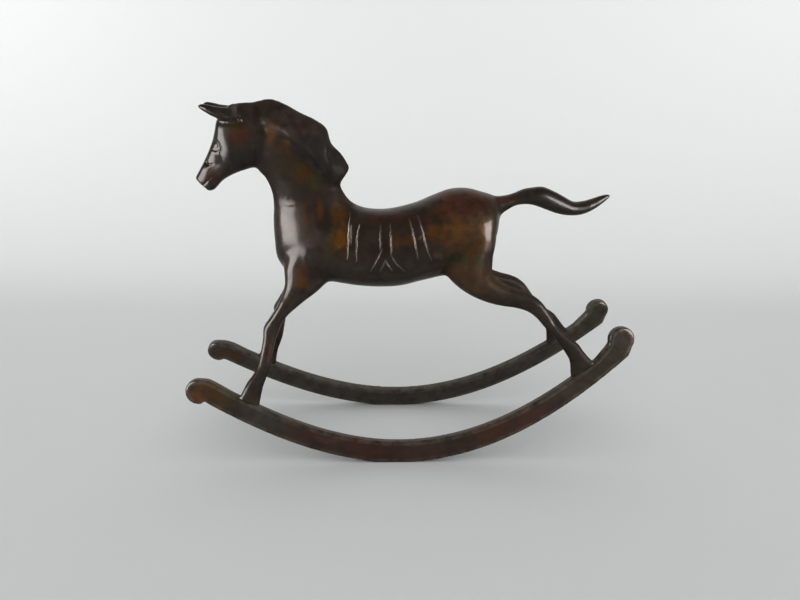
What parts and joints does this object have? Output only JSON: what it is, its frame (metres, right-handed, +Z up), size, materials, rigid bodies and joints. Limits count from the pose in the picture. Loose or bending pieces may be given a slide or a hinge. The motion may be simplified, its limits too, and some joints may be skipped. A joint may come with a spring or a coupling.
{
  "type": "rocking horse figurine",
  "caption": "Small cast horse with raised mane and flying tail, its hooves brazed to a pair of curved rockers with scrolled ends.",
  "frame": {"origin": "on the floor, under the middle of the whole length and of the width", "axes": "+Z up, the horse faces -X, its left side looks towards -Y"},
  "size_m": [0.2505, 0.072, 0.1972],
  "materials": {
    "patinated_brass": "satin, dark brown patina with amber and olive patches where the brass shows through"
  },
  "bodies": {
    "root": {"horse": "patinated_brass", "left_rocker": "patinated_brass", "right_rocker": "patinated_brass"}
  },
  "joints": []
}
